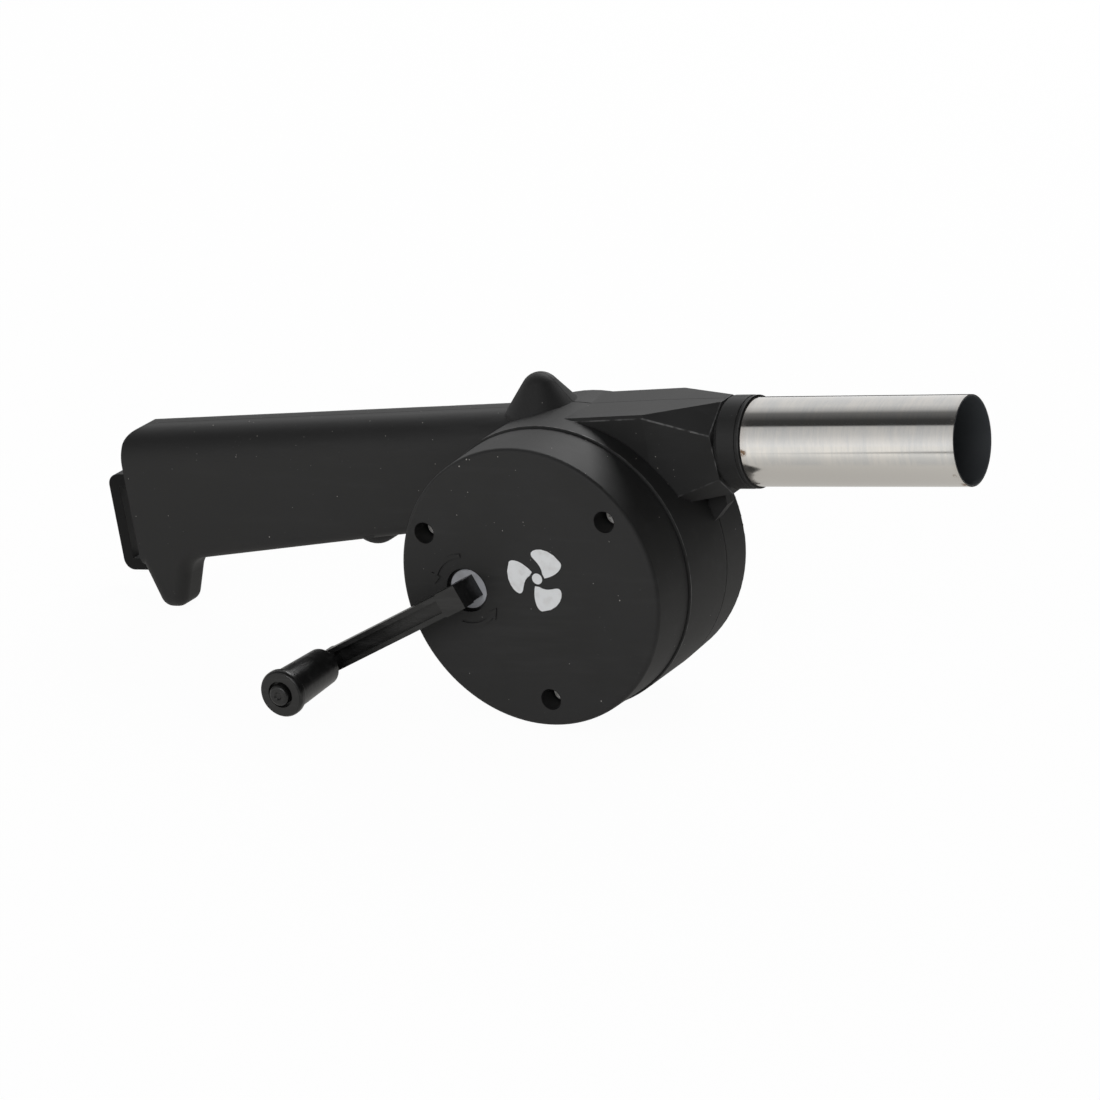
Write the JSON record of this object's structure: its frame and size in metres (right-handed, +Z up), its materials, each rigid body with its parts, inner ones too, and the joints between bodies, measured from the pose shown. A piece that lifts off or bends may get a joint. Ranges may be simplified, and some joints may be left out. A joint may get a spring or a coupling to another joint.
{
  "type": "hand crank air blower",
  "caption": "Hand-held fire blower: a side crank drives a geared fan in a drum on a pistol-like handle, and air leaves through a thin steel pipe.",
  "frame": {"origin": "centre of the drum's flat rear face, on the fan axis", "axes": "+X out along the air pipe, +Y out of the drum's rear face, +Z up, square to the two"},
  "size_m": [0.2904, 0.0888, 0.0938],
  "materials": {
    "casing_plastic": "fine-grained black moulding with a soft sheen",
    "crank_plastic": "glossy black moulding",
    "gear_plastic": "light blue-grey moulding",
    "fan_plastic": "off-white moulding",
    "pipe_steel": "bright stainless tube with heat tint at the collar",
    "plate_steel": "plain bright steel",
    "screw_zinc": "zinc plated",
    "bush_brass": "sintered bronze and brass"
  },
  "bodies": {
    "housing": {"front_cover": "casing_plastic", "front_shell": "casing_plastic", "rear_shell": "casing_plastic", "nozzle_collar": "casing_plastic", "air_pipe": "pipe_steel", "gear_plate": "plate_steel", "compound_axle": "plate_steel", "compound_washer": "plate_steel", "front_bush": "bush_brass", "rear_bush": "bush_brass", "cover_screws": "screw_zinc", "gear_plate_screws": "screw_zinc", "shell_screws": "screw_zinc"},
    "crank": {"crank_gear": "gear_plastic", "crank_arm": "crank_plastic", "crank_screw": "screw_zinc", "crank_washer": "plate_steel", "grip_pin": "crank_plastic"},
    "grip": {"crank_grip": "crank_plastic"},
    "compound": {"compound_gear": "gear_plastic"},
    "fan": {"fan_pinion": "bush_brass", "fan_shaft": "plate_steel", "impeller": "fan_plastic", "impeller_clip": "plate_steel"}
  },
  "joints": [
    {"name": "crank_turn", "type": "hinge", "parent": "housing", "child": "crank", "pos_m": [-0.0203, -0.046, -0.0007], "axis": [0, 1, 0], "continuous": true},
    {"name": "compound_turn", "type": "hinge", "parent": "housing", "child": "compound", "pos_m": [-0.00709, -0.042, -0.01322], "axis": [0, 1, 0], "continuous": true},
    {"name": "fan_turn", "type": "hinge", "parent": "housing", "child": "fan", "pos_m": [0, -0.03, 0], "axis": [0, 1, 0], "continuous": true},
    {"name": "grip_turn", "type": "hinge", "parent": "crank", "child": "grip", "pos_m": [-0.06509, -0.076, -0.02008], "axis": [0, 1, 0], "continuous": true}
  ],
  "couplings": [
    {"joint": "compound_turn", "follows": "crank_turn", "ratio": -4.2},
    {"joint": "fan_turn", "follows": "crank_turn", "ratio": 16.8}
  ]
}
